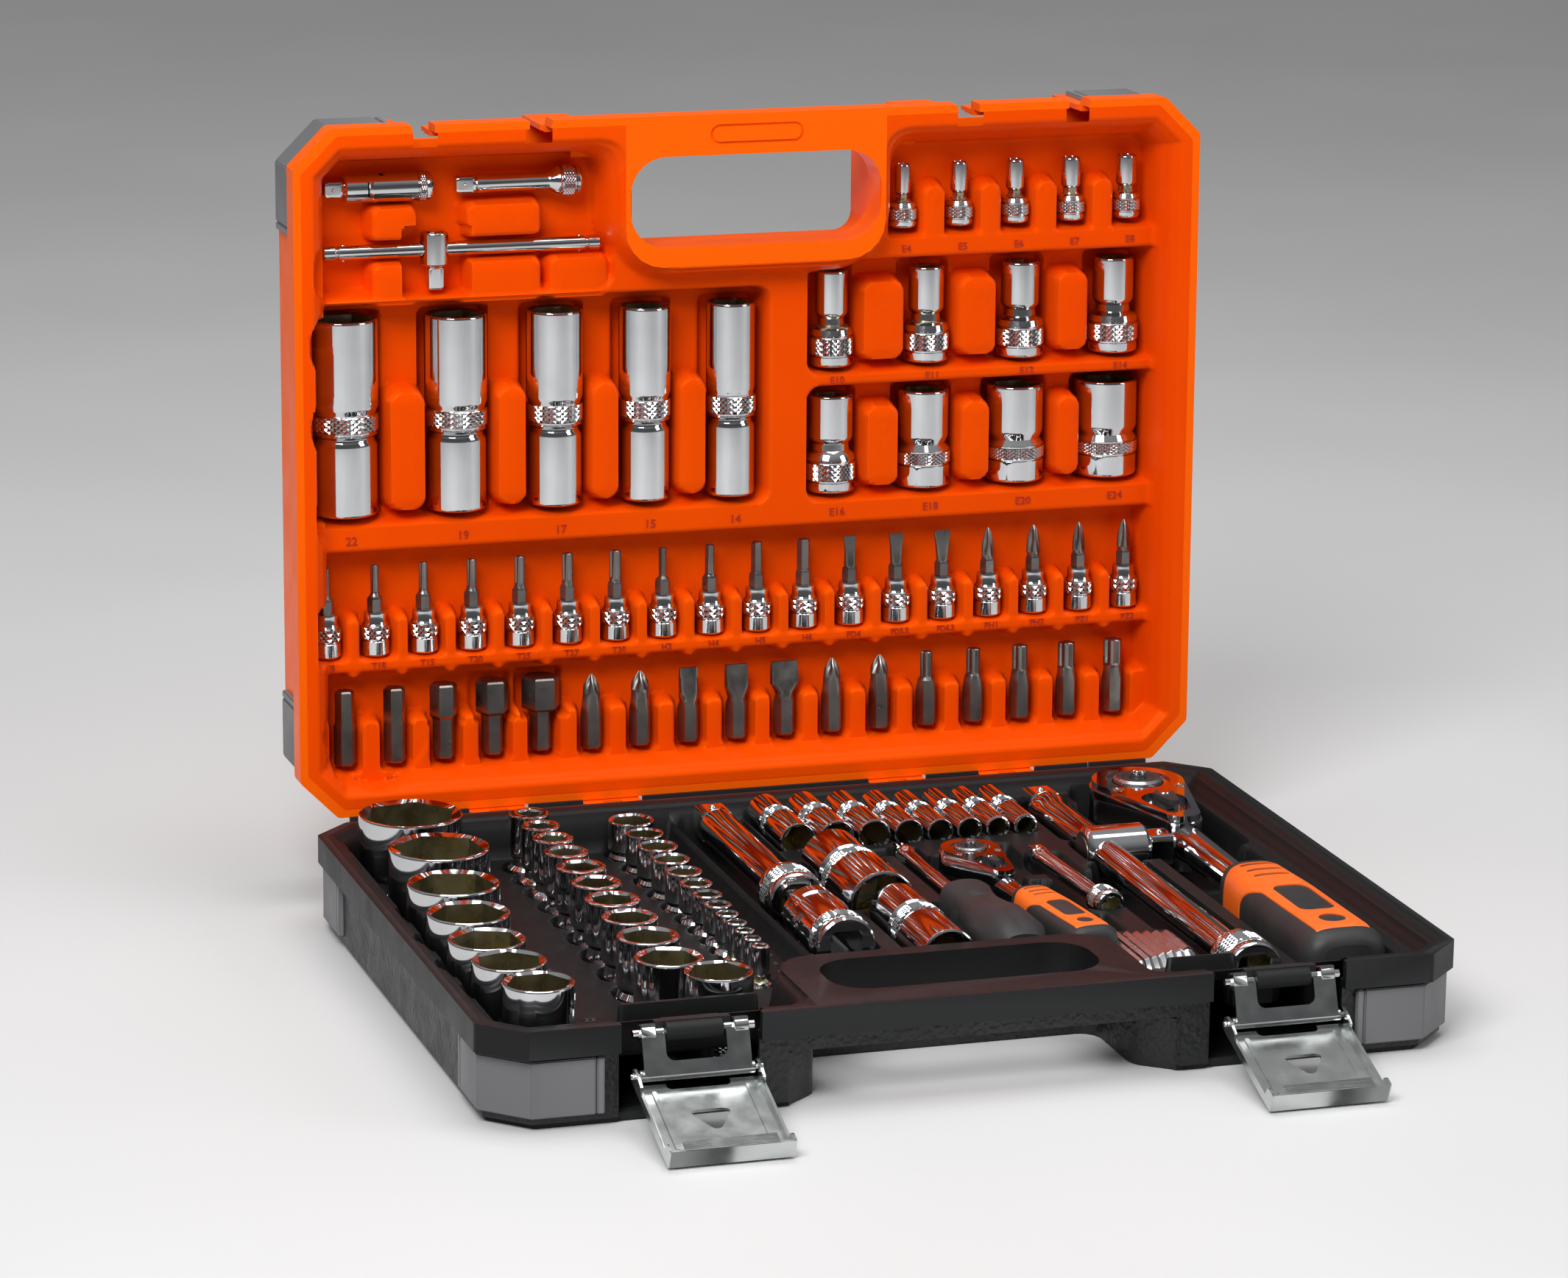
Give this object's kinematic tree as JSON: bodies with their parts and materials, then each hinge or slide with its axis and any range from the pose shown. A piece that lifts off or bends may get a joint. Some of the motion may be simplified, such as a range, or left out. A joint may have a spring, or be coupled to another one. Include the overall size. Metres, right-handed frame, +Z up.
{
  "type": "socket wrench set in case",
  "caption": "Hinged two-colour tool case lying open, with standing sockets, ratchets and extension bars in the base and deep sockets and bits in the lid.",
  "frame": {"origin": "middle of the base's resting face, on the surface that the case lies on", "axes": "+X to the right and +Y to the hinge side as seen from the latches, +Z up"},
  "size_m": [0.383, 0.3957, 0.317],
  "materials": {
    "case_black": "matte",
    "case_orange": "satin",
    "chrome": "polished",
    "steel": "satin",
    "grip_orange": "satin",
    "grip_black": "matte"
  },
  "bodies": {
    "base": {"base_shell": "case_black", "base_tray": "case_black", "hinge_pin_left": "steel", "hinge_pin_right": "steel", "latch_left_link_pin": "steel", "latch_right_link_pin": "steel"},
    "lid": {"lid_shell": "case_orange", "lid_tray": "case_orange"},
    "latch_left_link": {"latch_left_link": "steel", "latch_left_lever_pin": "steel"},
    "latch_left_lever": {"latch_left_lever": "steel"},
    "latch_right_link": {"latch_right_link": "steel", "latch_right_lever_pin": "steel"},
    "latch_right_lever": {"latch_right_lever": "steel"},
    "socket_half_32": {"socket_half_32": "chrome"},
    "socket_half_30": {"socket_half_30": "chrome"},
    "socket_half_27": {"socket_half_27": "chrome"},
    "socket_half_24": {"socket_half_24": "chrome"},
    "socket_half_23": {"socket_half_23": "chrome"},
    "socket_half_22": {"socket_half_22": "chrome"},
    "socket_half_21": {"socket_half_21": "chrome"},
    "deep_socket_22": {"deep_socket_22": "chrome"},
    "deep_socket_19": {"deep_socket_19": "chrome"},
    "deep_socket_17": {"deep_socket_17": "chrome"},
    "deep_socket_15": {"deep_socket_15": "chrome"},
    "deep_socket_14": {"deep_socket_14": "chrome"},
    "spark_plug_socket_21": {"spark_plug_socket_21": "chrome"},
    "spark_plug_socket_16": {"spark_plug_socket_16": "chrome"},
    "extension_half_125": {"extension_half_125": "chrome"},
    "extension_half_250": {"extension_half_250": "chrome"},
    "extension_quarter_75": {"extension_quarter_75": "chrome"},
    "extension_quarter_50": {"extension_quarter_50": "chrome"},
    "spinner_handle": {"spinner_grip": "grip_black", "spinner_shank": "chrome"},
    "tee_head_half": {"tee_head_half": "chrome"},
    "tee_bar_quarter": {"tee_bar_quarter": "chrome"},
    "tee_head_quarter": {"tee_head_quarter": "chrome"},
    "universal_joint_half": {"universal_joint_half_drive_fork": "chrome"},
    "universal_joint_half_cross": {"universal_joint_half_cross": "steel"},
    "universal_joint_half_socket_fork": {"universal_joint_half_socket_fork": "chrome"},
    "universal_joint_quarter": {"universal_joint_quarter_drive_fork": "chrome"},
    "universal_joint_quarter_cross": {"universal_joint_quarter_cross": "steel"},
    "universal_joint_quarter_socket_fork": {"universal_joint_quarter_socket_fork": "chrome"},
    "ratchet_half": {"ratchet_half_body": "chrome", "ratchet_half_grip": "grip_orange"},
    "ratchet_half_drive": {"ratchet_half_drive": "steel"},
    "ratchet_half_button": {"ratchet_half_button": "chrome"},
    "ratchet_half_switch": {"ratchet_half_switch": "grip_black"},
    "ratchet_quarter": {"ratchet_quarter_body": "chrome", "ratchet_quarter_grip": "grip_orange"},
    "ratchet_quarter_drive": {"ratchet_quarter_drive": "steel"},
    "ratchet_quarter_button": {"ratchet_quarter_button": "chrome"},
    "ratchet_quarter_switch": {"ratchet_quarter_switch": "grip_black"}
  },
  "joints": [
    {"name": "lid_hinge", "type": "hinge", "parent": "base", "child": "lid", "pos_m": [0, 0.146, 0.03065], "axis": [-1, 0, 0], "range_deg": [-90.9, 0]},
    {"name": "latch_left_link_pivot", "type": "hinge", "parent": "base", "child": "latch_left_link", "pos_m": [-0.1142, -0.1415, 0.0346], "axis": [-1, 0, 0], "range_deg": [0, 60]},
    {"name": "latch_left_lever_pivot", "type": "hinge", "parent": "latch_left_link", "child": "latch_left_lever", "pos_m": [-0.1142, -0.1466, 0.0202], "axis": [1, 0, 0], "range_deg": [-123, 0]},
    {"name": "latch_right_link_pivot", "type": "hinge", "parent": "base", "child": "latch_right_link", "pos_m": [0.1142, -0.1415, 0.0346], "axis": [-1, 0, 0], "range_deg": [0, 60]},
    {"name": "latch_right_lever_pivot", "type": "hinge", "parent": "latch_right_link", "child": "latch_right_lever", "pos_m": [0.1142, -0.1466, 0.0202], "axis": [1, 0, 0], "range_deg": [-123, 0]},
    {"name": "socket_half_32_lift_out", "type": "slide", "parent": "base", "child": "socket_half_32", "axis": [0, 0, 1], "range_m": [0, 0.06]},
    {"name": "socket_half_30_lift_out", "type": "slide", "parent": "base", "child": "socket_half_30", "axis": [0, 0, 1], "range_m": [0, 0.06]},
    {"name": "socket_half_27_lift_out", "type": "slide", "parent": "base", "child": "socket_half_27", "axis": [0, 0, 1], "range_m": [0, 0.06]},
    {"name": "socket_half_24_lift_out", "type": "slide", "parent": "base", "child": "socket_half_24", "axis": [0, 0, 1], "range_m": [0, 0.06]},
    {"name": "socket_half_23_lift_out", "type": "slide", "parent": "base", "child": "socket_half_23", "axis": [0, 0, 1], "range_m": [0, 0.06]},
    {"name": "socket_half_22_lift_out", "type": "slide", "parent": "base", "child": "socket_half_22", "axis": [0, 0, 1], "range_m": [0, 0.06]},
    {"name": "socket_half_21_lift_out", "type": "slide", "parent": "base", "child": "socket_half_21", "axis": [0, 0, 1], "range_m": [0, 0.06]},
    {"name": "deep_socket_22_lift_out", "type": "slide", "parent": "lid", "child": "deep_socket_22", "axis": [0, -0.9999, 0.0157], "range_m": [0, 0.05]},
    {"name": "deep_socket_19_lift_out", "type": "slide", "parent": "lid", "child": "deep_socket_19", "axis": [0, -0.9999, 0.0157], "range_m": [0, 0.05]},
    {"name": "deep_socket_17_lift_out", "type": "slide", "parent": "lid", "child": "deep_socket_17", "axis": [0, -0.9999, 0.0157], "range_m": [0, 0.05]},
    {"name": "deep_socket_15_lift_out", "type": "slide", "parent": "lid", "child": "deep_socket_15", "axis": [0, -0.9999, 0.0157], "range_m": [0, 0.05]},
    {"name": "deep_socket_14_lift_out", "type": "slide", "parent": "lid", "child": "deep_socket_14", "axis": [0, -0.9999, 0.0157], "range_m": [0, 0.05]},
    {"name": "spark_plug_socket_21_lift_out", "type": "slide", "parent": "base", "child": "spark_plug_socket_21", "axis": [0, 0, 1], "range_m": [0, 0.06]},
    {"name": "spark_plug_socket_16_lift_out", "type": "slide", "parent": "base", "child": "spark_plug_socket_16", "axis": [0, 0, 1], "range_m": [0, 0.06]},
    {"name": "extension_half_125_lift_out", "type": "slide", "parent": "base", "child": "extension_half_125", "axis": [0, 0, 1], "range_m": [0, 0.06]},
    {"name": "extension_half_250_lift_out", "type": "slide", "parent": "base", "child": "extension_half_250", "axis": [0, 0, 1], "range_m": [0, 0.06]},
    {"name": "extension_quarter_75_lift_out", "type": "slide", "parent": "base", "child": "extension_quarter_75", "axis": [0, 0, 1], "range_m": [0, 0.06]},
    {"name": "extension_quarter_50_lift_out", "type": "slide", "parent": "lid", "child": "extension_quarter_50", "axis": [0, -0.9999, 0.0157], "range_m": [0, 0.04]},
    {"name": "spinner_handle_lift_out", "type": "slide", "parent": "base", "child": "spinner_handle", "axis": [0, 0, 1], "range_m": [0, 0.06]},
    {"name": "tee_head_half_slide", "type": "slide", "parent": "extension_half_250", "child": "tee_head_half", "axis": [0, 1, 0], "range_m": [-0.005, 0.002]},
    {"name": "tee_bar_quarter_lift_out", "type": "slide", "parent": "lid", "child": "tee_bar_quarter", "axis": [0, -0.9999, 0.0157], "range_m": [0, 0.04]},
    {"name": "tee_head_quarter_slide", "type": "slide", "parent": "tee_bar_quarter", "child": "tee_head_quarter", "axis": [1, 0, 0], "range_m": [-0.007, 0.007]},
    {"name": "universal_joint_half_lift_out", "type": "slide", "parent": "base", "child": "universal_joint_half", "axis": [0, 0, 1], "range_m": [0, 0.06]},
    {"name": "universal_joint_half_bend", "type": "hinge", "parent": "universal_joint_half", "child": "universal_joint_half_cross", "pos_m": [-0.028, -0.02462, 0.0325], "axis": [-1, 0, 0], "range_deg": [0, 55]},
    {"name": "universal_joint_half_swing", "type": "hinge", "parent": "universal_joint_half_cross", "child": "universal_joint_half_socket_fork", "pos_m": [-0.028, -0.02462, 0.0325], "axis": [0, 0, 1], "range_deg": [-1.5, 1.5]},
    {"name": "universal_joint_quarter_lift_out", "type": "slide", "parent": "lid", "child": "universal_joint_quarter", "axis": [0, -0.9999, 0.0157], "range_m": [0, 0.04]},
    {"name": "universal_joint_quarter_bend", "type": "hinge", "parent": "universal_joint_quarter", "child": "universal_joint_quarter_cross", "pos_m": [-0.15432, 0.17672, 0.2897], "axis": [0, -0.0157, -0.9999], "range_deg": [0, 55]},
    {"name": "universal_joint_quarter_swing", "type": "hinge", "parent": "universal_joint_quarter_cross", "child": "universal_joint_quarter_socket_fork", "pos_m": [-0.15432, 0.17672, 0.2897], "axis": [0, 0.9999, -0.0157], "range_deg": [-1, 1]},
    {"name": "ratchet_half_lift_out", "type": "slide", "parent": "base", "child": "ratchet_half", "axis": [0, 0, 1], "range_m": [0, 0.06]},
    {"name": "ratchet_half_drive_turn", "type": "hinge", "parent": "ratchet_half", "child": "ratchet_half_drive", "pos_m": [0.152, 0.108, 0.041], "axis": [0, 0, 1], "continuous": true},
    {"name": "ratchet_half_button_press", "type": "slide", "parent": "ratchet_half_drive", "child": "ratchet_half_button", "axis": [0, 0, -1], "range_m": [0, 0.003], "stiffness_N_per_m": 300},
    {"name": "ratchet_half_switch_turn", "type": "hinge", "parent": "ratchet_half", "child": "ratchet_half_switch", "pos_m": [0.152, 0.078, 0.041], "axis": [0, 0, 1], "range_deg": [-35, 35]},
    {"name": "ratchet_quarter_lift_out", "type": "slide", "parent": "base", "child": "ratchet_quarter", "axis": [0, 0, 1], "range_m": [0, 0.06]},
    {"name": "ratchet_quarter_drive_turn", "type": "hinge", "parent": "ratchet_quarter", "child": "ratchet_quarter_drive", "pos_m": [0.0555, 0.042, 0.038], "axis": [0, 0, 1], "continuous": true},
    {"name": "ratchet_quarter_button_press", "type": "slide", "parent": "ratchet_quarter_drive", "child": "ratchet_quarter_button", "axis": [0, 0, -1], "range_m": [0, 0.00186], "stiffness_N_per_m": 300},
    {"name": "ratchet_quarter_switch_turn", "type": "hinge", "parent": "ratchet_quarter", "child": "ratchet_quarter_switch", "pos_m": [0.05708, 0.0234, 0.038], "axis": [0, 0, 1], "range_deg": [-35, 35]}
  ]
}
